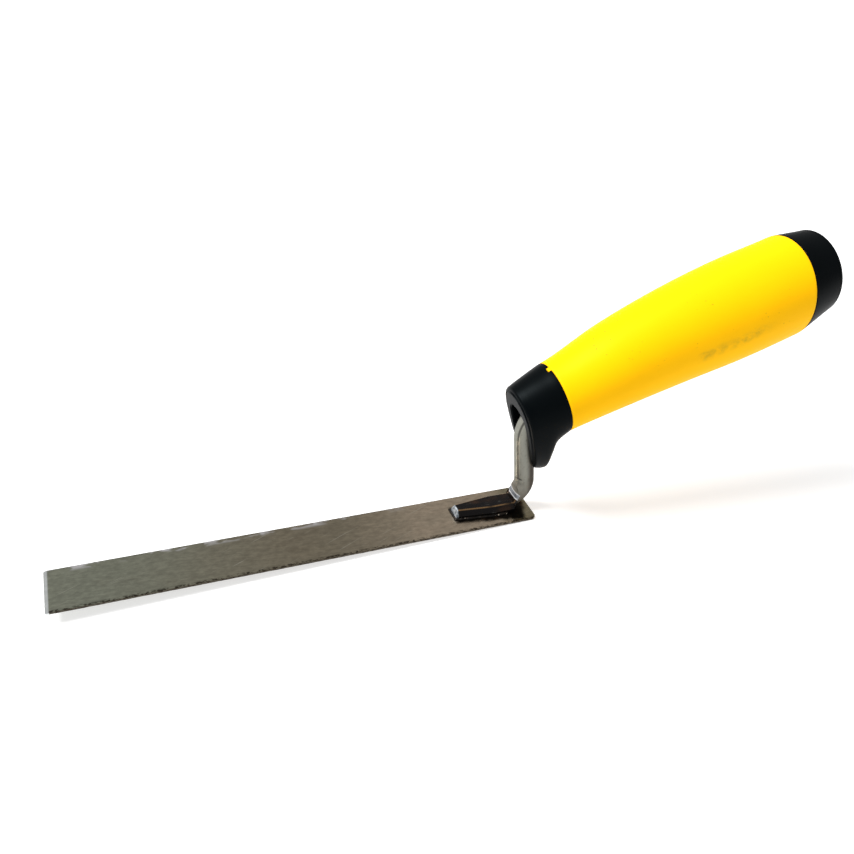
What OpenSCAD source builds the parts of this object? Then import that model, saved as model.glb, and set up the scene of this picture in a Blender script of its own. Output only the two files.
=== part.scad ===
// Narrow pointing trowel: flat steel blade, cranked tang with a welded foot,
// and a two-colour moulded handle with a finger guard.
// Millimetres. +X runs from the blade's tip to the handle's butt, +Z is up, and the
// origin is the centre of the blade's flat underside.

/* [Blade] */
// Length of the blade
blade_len = 170; // [120:5:220]
// Width of the blade
blade_w = 19; // [16:1:25]
// Thickness of the blade
blade_t = 0.9; // [0.7:0.1:1.4]
// Radius of the corners at the heel
heel_corner_r = 2; // [1:0.5:4]
// Radius of the corners at the tip
tip_corner_r = 0.5; // [0.3:0.1:1]
// Length of the ground bevel across the tip
tip_bevel_len = 1.2; // [0.6:0.2:2]

/* [Tang] */
// Diameter of the round rod
rod_d = 7.4; // [6.8:0.2:7.8]
// Distance from the blade's heel edge to the front end of the foot
foot_reach = 30.2; // [27:0.2:36]
// Width of the foot at its rear
foot_w = 8.4; // [8:0.2:9]
// Width of the foot at its front end
foot_tip_w = 4.2; // [3.6:0.2:6]
// Height of the foot above the blade
foot_h = 3.4; // [3:0.2:4.4]
// Forward lean of the rod from the vertical, in degrees
rod_lean = 10; // [8:0.5:12]
// Radius of the lower bend, to the rod's centreline
low_bend_r = 7; // [6:0.5:7.5]
// Radius of the upper bend, to the rod's centreline
top_bend_r = 12; // [10:0.5:12.5]
// Length of the straight end inside the handle
tang_grip_len = 78; // [60:2:84]

/* [Handle] */
// Height of the handle's axis over the blade at the front of the grip
handle_rise = 48.2; // [46:0.5:50]
// Angle of the handle's axis to the blade, in degrees
handle_pitch = 21.9; // [20:0.5:24]
// Length of the yellow grip along its axis
grip_len = 94.3; // [90:1:105]
// Length of the front bolster ahead of the grip
bolster_len = 15; // [14.4:0.2:16]
// Width of the slot in the bolster at its round top
slot_w = 11.2; // [9.6:0.2:12]
// Width of the slot at the guard's lower end
slot_low_w = 8.2; // [8:0.2:9]
// Length of the end cap behind the grip, to its rim
cap_len = 14.4; // [12:0.4:18]

/* [Hidden] */

heel_x = blade_len / 2;
handle_x = heel_x + 2.8;
handle_z = blade_t + handle_rise;
rod_r = rod_d / 2;
ring_n = 64;
eps = 0.01;

// Lean of the planes that cross the handle: the top of each lies further back than its foot
face_lean = 2.5;
front_lean = 3;
rear_lean = 13;
rim_lean = 8;

// Reach of the grip from the handle's axis at even stations, front to rear
grip_top = [11.8, 16.2, 18.4, 18.6, 17.4];
grip_low = [14.2, 14.8, 16.2, 18.0, 19.0];
grip_side = [13.1, 15.5, 17.2, 18.4, 18.2];
grip_rings = 24;

// The same for the bolster, from its front face to the grip
bolster_top = [9.2, 9.9, 10.6, 11.2, 11.8];
bolster_side = [10.4, 11.2, 11.9, 12.6, 13.1];
bolster_low = [25.8, 27.2, 28.2, 28.2, 24.2, 18.8, 16.4, 15.2, 14.2];
// Height at which the bolster is widest, at its face and at the grip
bolster_mid = [-2, -1.2];
bolster_rings = 24;
bolster_edge_r = 1.8;

// Top of the slot over the handle's axis, and the room behind the rod
slot_top = 2.4;
slot_gap = 0.6;

// The cap's rim, where the side turns into the domed end
rim_top = 14.2;
rim_low = 15.7;
rim_side = 15;
cap_edge_r = 2;
cap_dome = 1.5;

// The core inside the grip, on the tang's own line
core_gap = 0.05;
core_front_r = 7.6;
core_rear_r = 12.2;
core_front_s = 0.8;
core_rear_s = grip_len - 5;
core_spigot_r = 6;
core_spigot_len = 2.5;
cap_spigot_r = 8;
cap_spigot_len = 10;

// ---- helpers -------------------------------------------------------------

// The handle's own frame: X along its axis towards the butt, Z square to it and upwards
module on_handle() {
    translate([handle_x, 0, handle_z]) rotate([0, -handle_pitch, 0]) children();
}

// A drawing in the XZ plane, thickened by w along Y
module across(w) {
    rotate([90, 0, 0]) linear_extrude(w, center = true) children();
}

// Smooth curve through evenly spaced values, read at u from 0 to 1
function pick(v, i) = v[min(max(i, 0), len(v) - 1)];
function smooth(v, u) =
    let (n = len(v) - 1, i = min(floor(u * n), n - 1), t = u * n - i,
         a = pick(v, i), b = pick(v, i + 1),
         ma = (pick(v, i + 1) - pick(v, i - 1)) / 2, mb = (pick(v, i + 2) - pick(v, i)) / 2)
    (2 * t ^ 3 - 3 * t ^ 2 + 1) * a + (t ^ 3 - 2 * t ^ 2 + t) * ma
    + (3 * t ^ 2 - 2 * t ^ 3) * b + (t ^ 3 - t ^ 2) * mb;

function mix(a, b, u) = a + (b - a) * u;

// One oval ring round the handle's axis at s. top, low and side are its reach from the axis,
// and lean tips its plane so that its top lies further back.
function ring(s, lean, top, low, side) =
    [for (i = [0 : ring_n - 1])
        let (a = 360 * i / ring_n, mid = (top - low) / 2, half = (top + low) / 2,
             z = mid + half * sin(a))
        [s + tan(lean) * z, side * cos(a), z]];

// One ring that is widest at height mid, with a round upper part and a long lower part
function drop_ring(s, lean, mid, top, low, side) =
    [for (i = [0 : ring_n - 1])
        let (a = 360 * i / ring_n, z = mid + sin(a) * (sin(a) > 0 ? top - mid : low + mid))
        [s + tan(lean) * z, side * cos(a), z]];

function centre_of(ring) = [for (axis = [0 : 2])
    let (v = [for (p = ring) p[axis]]) (min(v) + max(v)) / 2];

// Closed solid through a list of rings that run towards +X, with a fan over each end
module loft(rings) {
    n = len(rings[0]);
    last = len(rings) - 1;
    front_hub = n * len(rings);
    back_hub = front_hub + 1;
    points = concat([for (r = rings) each r], [centre_of(rings[0]), centre_of(rings[last])]);
    sides = [for (k = [0 : last - 1], i = [0 : n - 1])
        let (j = (i + 1) % n, a = k * n + i, b = k * n + j)
        each [[a, b + n, b], [a, a + n, b + n]]];
    front = [for (i = [0 : n - 1]) [i, (i + 1) % n, front_hub]];
    back = [for (i = [0 : n - 1]) [last * n + (i + 1) % n, last * n + i, back_hub]];
    polyhedron(points, concat(front, back, sides), convexity = 4);
}

// ---- blade ---------------------------------------------------------------

module blade_outline() {
    half_l = blade_len / 2;
    half_w = blade_w / 2;
    translate([-half_l + tip_corner_r, -half_w])
        square([blade_len - tip_corner_r - heel_corner_r, blade_w]);
    translate([-half_l, -half_w + tip_corner_r])
        square([tip_corner_r + eps, blade_w - 2 * tip_corner_r]);
    translate([half_l - heel_corner_r - eps, -half_w + heel_corner_r])
        square([heel_corner_r + eps, blade_w - 2 * heel_corner_r]);
    for (side = [-1, 1]) {
        translate([-half_l + tip_corner_r, side * (half_w - tip_corner_r)])
            circle(r = tip_corner_r, $fn = 32);
        translate([half_l - heel_corner_r, side * (half_w - heel_corner_r)])
            circle(r = heel_corner_r, $fn = 48);
    }
}

module blade() {
    bevel_drop = 0.3 * blade_t;
    tip_x = -blade_len / 2;
    slope = bevel_drop / tip_bevel_len;
    color("dimgray")
    difference() {
        linear_extrude(blade_t) blade_outline();
        across(blade_w + 2)
            polygon([[tip_x - 1, blade_t - bevel_drop - slope], [tip_x + tip_bevel_len, blade_t],
                     [tip_x + tip_bevel_len, blade_t + 1], [tip_x - 1, blade_t + 1]]);
    }
}

// ---- tang ----------------------------------------------------------------

foot_front_x = heel_x - foot_reach;
foot_rear_x = heel_x - 6.9;
rod_low_z = blade_t + rod_r + 0.15;

// Corners of the rod's centreline in the XZ plane, before they are bent round
corner_low = [heel_x - 1.3, rod_low_z];
corner_top_z = handle_z - 7.7;
corner_top = [corner_low[0] - tan(rod_lean) * (corner_top_z - rod_low_z), corner_top_z];
riser_dir = [-sin(rod_lean), cos(rod_lean)];
riser_side = [cos(rod_lean), sin(rod_lean)];

// Length that each bend takes from the straight pieces on its two sides
low_turn = 90 + rod_lean;
top_turn = low_turn - handle_pitch;
low_cut = low_bend_r * tan(low_turn / 2);
top_cut = top_bend_r * tan(top_turn / 2);

// Centre of the upper bend, and the same in the handle's own frame
top_start = corner_top - riser_dir * top_cut;
top_centre = top_start + riser_side * top_bend_r;
tang_drop = (handle_z - corner_top_z) * cos(handle_pitch)
            - (handle_x - corner_top[0]) * sin(handle_pitch);
corner_top_s = (corner_top[0] - handle_x) * cos(handle_pitch)
               + (corner_top_z - handle_z) * sin(handle_pitch);
tang_start_s = corner_top_s + top_cut;

// Where the rod leaves the foot, and the slope of the facet between their tops
foot_joint_x = corner_low[0] - low_cut;
foot_slope = 2.1;

// The foot's upright side below its bevel, how far the bevel comes in, how far the front end
// leans back, and the length over which the foot widens
foot_side_h = 1.2;
foot_bevel = 1.3;
foot_end_lean = 0.7;
foot_taper_len = 14;

// Points round the rod, and the grooves that key the straight end into the handle
rod_sides = 40;
groove_pitch = 6;
groove_deep = 0.6;

// One ring of the foot: a flat base, low upright sides, and bevels up to the narrower top.
// The first number of each pair is the point's place in the ring.
function foot_ring(x, base_half, lean = 0) =
    let (top_half = base_half - foot_bevel)
    [for (i = [0 : rod_sides - 1])
        let (y = lookup(i, [[2, base_half], [6, top_half], [14, -top_half], [18, -base_half],
                            [24, -base_half], [36, base_half]]),
             z = lookup(i, [[0, foot_side_h * 2 / 3], [2, foot_side_h], [6, foot_h], [14, foot_h],
                            [18, foot_side_h], [24, 0], [36, 0], [40, foot_side_h * 2 / 3]]))
        [x + lean * z / foot_h, y, blade_t + z]];

function foot_rings() =
    [foot_ring(foot_front_x, foot_tip_w / 2 + foot_bevel / 2, foot_end_lean),
     foot_ring(foot_front_x + foot_taper_len, foot_w / 2),
     foot_ring(foot_rear_x, foot_w / 2)];

// Points of the rod's centreline with their headings, as [x, z, heading, radius]
function arc_points(start, heading, r, turn, steps) =
    let (s = sign(turn), centre = start + r * s * [-sin(heading), cos(heading)])
    [for (k = [0 : steps])
        let (h = heading + turn * k / steps, p = centre + r * s * [sin(h), -cos(h)])
        [p[0], p[1], h, rod_r]];

// The straight end that the handle is moulded on: three grooves and a bevelled nose
function tang_points(start) =
    let (dir = [cos(handle_pitch), sin(handle_pitch)], nose = 2,
         grooves = [for (k = [3 : -1 : 1]) tang_grip_len - nose - k * groove_pitch],
         steps = concat([for (g = grooves) each [[g, 0], [g + 0.5, groove_deep],
                                                 [g + 2, groove_deep], [g + 2.5, 0]]],
                        [[tang_grip_len - nose, 0], [tang_grip_len, nose / 2]]))
    [for (st = steps)
        let (p = start + dir * st[0]) [p[0], p[1], handle_pitch, rod_r - st[1]]];

function rod_ring(p) =
    [for (i = [0 : rod_sides - 1])
        let (a = 360 * i / rod_sides, up = p[3] * sin(a))
        [p[0] - up * sin(p[2]), p[3] * cos(a), p[1] + up * cos(p[2])]];

// The inside of the lower bend is pressed flat: a steep facet that climbs from the foot's
// rear end to the front of the riser
function facet_x(z) =
    min(foot_rear_x + (z - blade_t - foot_h) / foot_slope,
        corner_low[0] - tan(rod_lean) * (z - rod_low_z) - rod_r / cos(rod_lean));
function press_flat(ring) =
    [for (q = ring) [q[2] > blade_t + foot_h ? max(q[0], facet_x(q[2])) : q[0], q[1], q[2]]];

// One swept solid: foot, lower bend, riser, upper bend, and the straight end
module tang() {
    tang_start = top_centre + top_bend_r * [-sin(handle_pitch), cos(handle_pitch)];
    low_bend = arc_points([foot_joint_x, rod_low_z], 0, low_bend_r, low_turn, 14);
    rod_path = concat(arc_points(top_start, low_turn, top_bend_r, -top_turn, 14),
                      tang_points(tang_start));
    color("gray")
    loft(concat(foot_rings(), [for (k = [4 : 14]) press_flat(rod_ring(low_bend[k]))],
                [for (p = rod_path) rod_ring(p)]));
}

// Fillet of weld metal round the foot, open at the rear where the rod lifts away.
// Each place is the foot's side, then the direction outwards.
module weld_bead() {
    reach = 1;
    height = 0.8;
    gap = 0.02;
    tip_half = foot_tip_w / 2 + foot_bevel / 2;
    mid_x = foot_front_x + foot_taper_len;
    end_x = foot_rear_x - 3;
    near_side = [[end_x, -foot_w / 2, 0, -1], [mid_x, -foot_w / 2, 0, -1],
                 [foot_front_x, -tip_half, -0.8, -0.8]];
    places = concat(near_side, [for (k = [2 : -1 : 0]) let (p = near_side[k])
                                    [p[0], -p[1], p[2], -p[3]]]);
    profile = [[gap, 0], [reach, 0], [0.65 * reach, 0.6 * height], [gap, height]];
    color([0.12, 0.1, 0.09])
    loft([for (p = places)
        [for (q = profile) [p[0] + p[2] * q[0], p[1] + p[3] * q[0], blade_t + q[1]]]]);
}

// ---- handle --------------------------------------------------------------

// Rings of the bolster: a rounded front edge, then the body back to the grip
function bolster_ring(s, inset) =
    let (u = 1 + s / bolster_len)
    drop_ring(s, mix(face_lean, front_lean, u), mix(bolster_mid[0], bolster_mid[1], u),
              smooth(bolster_top, u) - inset, smooth(bolster_low, u) - inset,
              smooth(bolster_side, u) - inset);

function bolster_all() =
    let (r = bolster_edge_r, body = bolster_len - r)
    concat([for (a = [0 : 15 : 75]) bolster_ring(-bolster_len + r * (1 - cos(a)), r * (1 - sin(a)))],
           [for (k = [0 : bolster_rings]) bolster_ring(-body * (1 - k / bolster_rings), 0)]);

// Slot that the riser and the upper bend lie in, open at the front and below
module rod_slot() {
    intersection() {
        across(slot_w + 2) slot_side();
        on_handle() rotate([90, 0, 90]) linear_extrude(80, center = true) slot_front();
    }
}

// The slot seen from the front: a round top, narrowing to the guard's lower end
module slot_front() {
    top_r = slot_w / 2;
    straight = 6;
    low_end = 45;
    translate([0, slot_top - top_r]) {
        circle(r = top_r, $fn = 64);
        polygon([[-top_r, 0], [-top_r, -straight], [-slot_low_w / 2, -low_end / 2],
                 [-slot_low_w / 2, -low_end], [slot_low_w / 2, -low_end],
                 [slot_low_w / 2, -low_end / 2], [top_r, -straight], [top_r, 0]]);
    }
}

// The slot seen from the side: it follows the back of the riser and of the upper bend
module slot_side() {
    back = rod_r + slot_gap;
    below = 12;
    ahead = 30;
    foot_pt = corner_low + riser_side * back + riser_dir * (low_cut - below);
    bend_pt = top_start + riser_side * back;
    difference() {
        union() {
            polygon([foot_pt, bend_pt, top_centre, bend_pt - riser_side * ahead,
                     foot_pt - riser_side * ahead]);
            in_handle_plane()
                polygon([[-bolster_len - 2, slot_top], [-bolster_len + 5, slot_top],
                         [tang_start_s, back - tang_drop], [tang_start_s, -tang_drop - top_bend_r],
                         [-bolster_len - 8, -tang_drop - top_bend_r]]);
        }
        translate(top_centre) circle(r = top_bend_r - back, $fn = 96);
    }
}

// The handle's frame for a drawing in the XZ plane
module in_handle_plane() {
    translate([handle_x, handle_z]) rotate(handle_pitch) children();
}

module front_bolster() {
    color([0.06, 0.06, 0.07])
    difference() {
        on_handle() loft(bolster_all());
        rod_slot();
        on_tang() {
            round_bar(tang_start_s - 1, 4, rod_r + core_gap);
            round_bar(-core_spigot_len, 2, core_spigot_r + core_gap);
        }
        on_handle() key_tab(core_gap);
    }
}

// The straight line of the tang inside the handle, as a frame like the handle's own
module on_tang() {
    on_handle() translate([0, 0, -tang_drop]) children();
}

module round_bar(from, to, r) {
    translate([from, 0, 0]) rotate([0, 90, 0]) cylinder(r = r, h = to - from, $fn = 64);
}

function grip_ring(u, inset) =
    ring(grip_len * u, mix(front_lean, rear_lean, u), smooth(grip_top, u) - inset,
         smooth(grip_low, u) - inset, smooth(grip_side, u) - inset);

// Tab of the grip that fills a notch in the bolster's rim
module key_tab(gap) {
    tab_w = 2.2;
    tab_len = 1.2;
    tab_base = 9.4;
    translate([-tab_len - gap, -tab_w / 2 - gap, tab_base - gap])
        cube([tab_len + gap + 2, tab_w + 2 * gap, 4]);
}

module grip_sleeve() {
    color("gold") {
        difference() {
            on_handle() loft([for (k = [0 : grip_rings]) grip_ring(k / grip_rings, 0)]);
            on_tang() core_cone(core_gap, 6);
        }
        intersection() {
            on_handle() key_tab(0);
            on_handle() loft([bolster_ring(-3, 0), bolster_ring(0, 0)]);
        }
    }
}

// Outside of the core, larger all round by gap and longer at each end by extra
module core_cone(gap, extra) {
    slope = (core_rear_r - core_front_r) / (core_rear_s - core_front_s);
    translate([core_front_s - extra, 0, 0]) rotate([0, 90, 0])
        cylinder(r1 = core_front_r - slope * extra + gap, r2 = core_rear_r + slope * extra + gap,
                 h = core_rear_s - core_front_s + 2 * extra, $fn = 96);
}

module handle_core() {
    tang_pocket = tang_start_s + tang_grip_len + 0.5;
    color([0.15, 0.15, 0.16])
    on_tang()
    difference() {
        union() {
            core_cone(0, 0);
            round_bar(-core_spigot_len + 0.1, core_front_s + 1, core_spigot_r);
        }
        round_bar(-core_spigot_len - 1, tang_pocket, rod_r + core_gap);
        round_bar(core_rear_s - cap_spigot_len, core_rear_s + 1, cap_spigot_r + core_gap);
    }
}

function cap_ring(u, inset, ahead) =
    ring(grip_len + cap_len * u + ahead, mix(rear_lean, rim_lean, u),
         mix(grip_top[4], rim_top, u) - inset, mix(grip_low[4], rim_low, u) - inset,
         mix(grip_side[4], rim_side, u) - inset);

// Side of the cap, then its rounded rim, then the shallow dome
function cap_all() =
    let (r = cap_edge_r, side_end = 1 - r / cap_len)
    concat([for (k = [0 : 6]) cap_ring(side_end * k / 6, 0, 0)],
           [for (a = [15 : 15 : 90]) cap_ring(side_end, r * (1 - cos(a)), r * sin(a))],
           [for (k = [1 : 4]) cap_ring(side_end, mix(r, rim_side * 0.75, k / 4),
                                       r + cap_dome * sin(22.5 * k))]);

module end_cap() {
    color([0.06, 0.06, 0.07]) {
        on_handle() loft(cap_all());
        on_tang() round_bar(core_rear_s - cap_spigot_len + 0.5, grip_len + 6, cap_spigot_r);
    }
}

blade();
weld_bead();
tang();
front_bolster();
handle_core();
grip_sleeve();
end_cap();
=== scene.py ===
"""Looks of the narrow pointing trowel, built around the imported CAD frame."""

import math
from functools import reduce

import bmesh
import bpy
import numpy as np
from mathutils import Euler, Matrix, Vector, noise


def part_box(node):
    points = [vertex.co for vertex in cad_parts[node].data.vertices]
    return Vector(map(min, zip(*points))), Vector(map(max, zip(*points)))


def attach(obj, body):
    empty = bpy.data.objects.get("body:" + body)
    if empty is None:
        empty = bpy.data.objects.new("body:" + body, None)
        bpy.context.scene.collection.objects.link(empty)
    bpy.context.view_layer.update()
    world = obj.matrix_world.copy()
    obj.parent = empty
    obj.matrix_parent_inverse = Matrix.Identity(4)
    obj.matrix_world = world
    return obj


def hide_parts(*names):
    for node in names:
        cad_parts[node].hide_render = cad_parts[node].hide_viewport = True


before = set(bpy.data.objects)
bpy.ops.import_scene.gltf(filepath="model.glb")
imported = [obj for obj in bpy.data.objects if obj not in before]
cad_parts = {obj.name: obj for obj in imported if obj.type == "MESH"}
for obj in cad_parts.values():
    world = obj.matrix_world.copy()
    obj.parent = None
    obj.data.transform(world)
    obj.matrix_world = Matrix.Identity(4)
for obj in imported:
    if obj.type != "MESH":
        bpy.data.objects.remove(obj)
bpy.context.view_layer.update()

# ---- driving sizes, in millimetres, from the frame where it gives them -----------------------

MM = 0.001


def box_mm(node):
    low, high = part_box(node)
    return np.array(low) / MM, np.array(high) / MM


BLADE_LOW, BLADE_HIGH = box_mm("blade")

# The blade: its ends, thickness and half width, its corners' radii, and the bevel ground at its
# tip, with the station on the bevel between its ends
TIP_X, HEEL_X = BLADE_LOW[0], BLADE_HIGH[0]
BLADE_T = BLADE_HIGH[2]
BLADE_HALF = BLADE_HIGH[1]
HEEL_R, TIP_R = 2.0, 0.5
BEVEL_LEN, BEVEL_DROP, BEVEL_MID = 1.2, 0.27, 0.85
# Its broken edges and how much they vary, how far its sheared sides lie in and waver, and how
# much narrower its end faces are
EDGE_BREAK, BREAK_VARIES = 0.1, 0.8
SIDE_IN, SIDE_WAVER = 0.035, 0.05
TIP_INSET, HEEL_INSET = 0.08, 0.25
# Sections along its straight part and round its corners, and the angles that the corners cover
BLADE_STATIONS, TIP_STATIONS, HEEL_STATIONS = 330, 6, 12
TIP_ARC, HEEL_ARC = (0.35, math.pi / 2), (0.0, 1.35)

# The handle's own frame: s along its axis, e square to it and upwards
PITCH = math.radians(21.9)
HANDLE_X, HANDLE_Z = HEEL_X + 2.8, BLADE_T + 48.2
GRIP_LEN, BOLSTER_LEN, CAP_LEN = 94.3, 15.0, 14.4

# Reach of each shell from the axis at even stations, front to rear, as in the CAD source
GRIP_TOP = [11.8, 16.2, 18.4, 18.6, 17.4]
GRIP_LOW = [14.2, 14.8, 16.2, 18.0, 19.0]
GRIP_SIDE = [13.1, 15.5, 17.2, 18.4, 18.2]
BOLSTER_TOP = [9.2, 9.9, 10.6, 11.2, 11.8]
BOLSTER_SIDE = [10.4, 11.2, 11.9, 12.6, 13.1]
BOLSTER_LOW = [25.8, 27.2, 28.2, 28.2, 24.2, 18.8, 16.4, 15.2, 14.2]
# Height of the bolster's widest line at its front and rear
BOLSTER_MID = (-2.0, -1.2)
# Lean, in degrees, of the bolster's face, the grip's two ends and the cap's rim
FACE_LEAN, FRONT_LEAN, REAR_LEAN, RIM_LEAN = 2.5, 3.0, 13.0, 8.0
# The cap's reach at its rim, the round there, and how far its end bulges
RIM_TOP, RIM_LOW, RIM_SIDE = 14.2, 15.7, 15.0
CAP_EDGE_R, CAP_DOME = 2.0, 1.5

# Points in a section of the handle, and sections along its shells
HANDLE_N = 144
GRIP_STATIONS, GRIP_INNER_STATIONS = 90, 12
BOLSTER_STATIONS, FACE_EDGE_STATIONS = 56, 7
CAP_STATIONS, CAP_EDGE_STATIONS, CAP_END_STATIONS = 22, 10, 14
# The small round at a shell's end, and the grip's wall
JOINT_R, JOINT_STEPS = 0.3, 4
GRIP_WALL = 4.0
# The lip of the bolster's face, from its middle outwards, as depth behind the face and inset from
# the outside, and the radius and first angle of the edge round it
FACE_LIP = [(0, 2.6), (0, 1.9), (0.04, 1.62), (0.3, 1.5), (0.62, 1.38), (0.66, 1.2), (0.5, 1.02),
            (0.42, 0.9)]
FACE_EDGE_R, FACE_EDGE_START = 0.9, 0.3
# The slot from the front: its arch's radius and top, its half width low down, its softened rim
SLOT_R, SLOT_TOP, SLOT_LOW_HALF, SLOT_RIM = 5.6, 2.4, 4.1, 0.5
# How its sides narrow: share of the way to the low half width, and drop from the arch's centre
SLOT_SIDES = [(0.0, 6), (0.5, 11.5), (1.0, 19)]
# The slot from the side: its room behind the rod, its roof as s and e, the step down from the
# riser to its lowest point, and a half width greater than the arch's
SLOT_ROOM, SLOT_BLOCK_HALF = 0.6, 9.0
SLOT_ROOF = [(-2.0, 1.0), (-8.0, 2.6)]
SLOT_FOOT_STEP = (3.0, -14)
# Ends of the cuts, all clear of the bolster: in front and behind as s, below as e, and how far
# forwards the side cut's lowest edge runs
SLOT_FRONT, SLOT_REAR, SLOT_BOTTOM = -40.0, 2.0, -45
SLOT_FORWARD = 45
# The tab at the front of the grip's top, how far it runs back into the grip and how fast it
# sinks there, and how much wider and higher the cut for it is
TAB_LEN, TAB_HALF, TAB_BASE = 1.05, 0.95, 9.4
TAB_ROOT, TAB_SINK = 1.0, 0.4
NOTCH_GAP, NOTCH_ABOVE = 0.08, 2.0

# The tang: a bent round rod whose front end is pressed into a bevelled foot
RING_N = 120
ROD_R, ROD_WAVER = 3.7, 0.02
ROD_Z = BLADE_T + ROD_R + 0.15
ROD_LEAN = math.radians(10)
LOW_BEND_R, TOP_BEND_R = 7.0, 12.0
LOW_STEPS, TOP_STEPS, RISER_STEPS = 40, 28, 42
# The lower bend's first steps lie inside the foot and are left out
LOW_SKIP = 9
# Stations of the straight end in the handle, past the upper bend
TAIL = (2, 30, 70, 76)
FOOT_FRONT, FOOT_REAR = HEEL_X - 30.2, HEEL_X - 6.9
FOOT_HALF, FOOT_TIP_HALF, FOOT_TAPER = 4.2, 2.75, 14.0
FOOT_H, FOOT_SIDE_H, FOOT_BEVEL, FOOT_END_LEAN = 3.4, 1.2, 1.3, 0.7
# The foot's front end: distance behind it, how much wider, and inset of the section
FOOT_END = [(0.0, 0.0, 0.18), (0.12, 0.0, 0.03), (0.4, 0.04, 0.0)]
# Where the plain sections start behind that end, and how many lie on the taper and behind it
FOOT_END_LEN, TAPER_STATIONS, FOOT_STATIONS = 1.4, 12, 8
# Marks round the foot's section, and its ridge beside the top: marks from it, reach past it, drop
FOOT_MARKS = 40
FOOT_RIDGE = [(-1 / 3, 0.14, 0.24), (0, 0.0, 0.07), (1 / 3, -0.16, 0.0)]
# Corners of the rod's axis before they are rounded: X and Z of the low one, Z of the top one
CORNER_LOW = np.array([HEEL_X - 1.3, ROD_Z])
CORNER_TOP_Z = HANDLE_Z - 7.7
# The pressed facet between foot and riser: how steeply it climbs, and the band that shines
FACET_SLOPE = 2.1
FACET_LOW_Z, FACET_TOP_Z = 5.6, 7.6
# The flash line: its place and its pressed strip's end, in degrees round the rod from its far
# side and past its front, and the height of its lower end
FLASH_ANGLE, FLASH_END_ANGLE, FLASH_LOW_Z = 115.0, 152.0, 14.5
# Depths of that strip, of the groove along its edge and of the step at its lower end
FLASH_DEPTH, FLASH_GROOVE, FLASH_STEP = 0.09, 0.13, 0.10
# Length over which the strip starts, degrees over which it sinks and fades, the groove's place
# past the line and its width in degrees, and the length of the step
FLASH_START, FLASH_SINK, FLASH_FADE = 0.5, 4.0, 26.0
GROOVE_OFF, GROOVE_WIDTH, STEP_LEN = 3.0, 3.0, 0.35

# The weld: its reach over the blade, its height, its gap to the foot and its step round the foot
WELD_REACH, WELD_HEIGHT, WELD_GAP, WELD_STEP = 0.95, 0.75, 0.02, 0.35
WELD_END = FOOT_REAR - 3
# How far its lumps swell and its nicks cut, as shares of its size, and its reach at a corner
WELD_MEAN, WELD_SWELL, WELD_NICK, WELD_CORNER = 0.8, 0.3, 0.15, 0.8

# The floor: its tilt in degrees, half size, room under the heel, grey and own glow
FLOOR_TILT, FLOOR_HALF, FLOOR_ROOM = -1.3, 40000.0, 0.05
FLOOR_GREY, FLOOR_GLOW = 0.50, 0.62
# The light: an even white world and one soft lamp, its angles in degrees
WORLD_STRENGTH = 0.5
KEY_AZIMUTH, KEY_ELEVATION, KEY_SPREAD, KEY_STRENGTH = 160, 50, 26, 5.4
# The camera, as fitted to the photo, with its angles in degrees
CAMERA_PLACE = (-60.3, -213.1, 204.1)
CAMERA_AZIMUTH, CAMERA_ELEVATION, CAMERA_ROLL = 25.22, 34.36, 6.56
CAMERA_SENSOR, CAMERA_LENS, CAMERA_CLIP = 36.0, 35.76, 10.0


# ---- mesh helpers ---------------------------------------------------------------------------

def on_handle(s, y, e):
    """Point of the handle's frame, in the CAD frame, in millimetres."""
    return (HANDLE_X + s * math.cos(PITCH) - e * math.sin(PITCH), y,
            HANDLE_Z + s * math.sin(PITCH) + e * math.cos(PITCH))


def mix(a, b, u):
    return a + (b - a) * u


def unit(value):
    """value held between 0 and 1."""
    return max(0.0, min(1.0, value))


def smooth(values, u):
    """Smooth curve through evenly spaced values, read at u from 0 to 1."""
    n = len(values) - 1
    i = min(int(max(u, 0) * n), n - 1)
    t = u * n - i
    before, a, b, after = [values[min(max(k, 0), n)] for k in range(i - 1, i + 3)]
    ma, mb = (b - before) / 2, (after - a) / 2
    return ((2 * t**3 - 3 * t**2 + 1) * a + (t**3 - 2 * t**2 + t) * ma
            + (3 * t**2 - 2 * t**3) * b + (t**3 - t**2) * mb)


def loft(rings, loop=False):
    """Vertices and faces through rings of equal length; loop joins the last ring to the first."""
    n = len(rings[0])
    verts = [p for ring in rings for p in ring]
    faces = []
    count = len(rings) if loop else len(rings) - 1
    for k in range(count):
        a, b = k * n, (k + 1) % len(rings) * n
        faces += [(a + i, b + i, b + (i + 1) % n, a + (i + 1) % n) for i in range(n)]
    if not loop:
        for first, flip in ((0, False), ((len(rings) - 1) * n, True)):
            hub = len(verts)
            verts.append(tuple(np.mean(verts[first:first + n], axis=0)))
            for i in range(n):
                pair = (first + i, first + (i + 1) % n)
                faces.append((pair[1], pair[0], hub) if flip else (*pair, hub))
    return verts, faces


def make_mesh(name, verts, faces):
    mesh = bpy.data.meshes.new(name)
    mesh.from_pydata([tuple(c * MM for c in v) for v in verts], [], faces)
    mesh.validate()
    obj = bpy.data.objects.new(name, mesh)
    bpy.context.scene.collection.objects.link(obj)
    return obj


def outward(obj):
    """Makes every face of a closed mesh look outwards."""
    bm = bmesh.new()
    bm.from_mesh(obj.data)
    bmesh.ops.recalc_face_normals(bm, faces=bm.faces)
    bm.to_mesh(obj.data)
    bm.free()


def finish_piece(obj, material, node, sharp_angle=35):
    """Gives a piece its shading, material and body, and hides the CAD node it stands for."""
    outward(obj)
    obj.data.shade_smooth()
    obj.data.set_sharp_from_angle(angle=math.radians(sharp_angle))
    obj.data.materials.clear()
    obj.data.materials.append(material)
    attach(obj, "root")
    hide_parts(node)


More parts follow.
